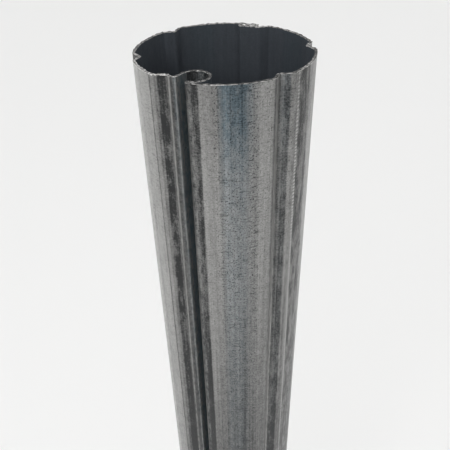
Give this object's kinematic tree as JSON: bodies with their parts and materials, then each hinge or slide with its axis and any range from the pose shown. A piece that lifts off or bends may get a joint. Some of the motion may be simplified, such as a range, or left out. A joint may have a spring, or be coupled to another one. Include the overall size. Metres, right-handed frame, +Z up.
{
  "type": "awning roller tube",
  "caption": "Galvanised steel awning roller tube: a round roll-formed section with a keder track, lengthwise key grooves and an inside lock seam, saw-cut square at both ends.",
  "frame": {"origin": "middle of the lower saw-cut end, on the tube's axis", "axes": "+Z runs up the tube's axis, -Y faces the picture's camera and +X is the picture's right; the keder track faces -Y and -X"},
  "size_m": [0.0779, 0.078, 1],
  "materials": {
    "galvanised_steel": "galvanised sheet, dull, with rolling streaks along the tube and bare saw-cut ends"
  },
  "bodies": {
    "root": {"roller_tube": "galvanised_steel"}
  },
  "joints": []
}
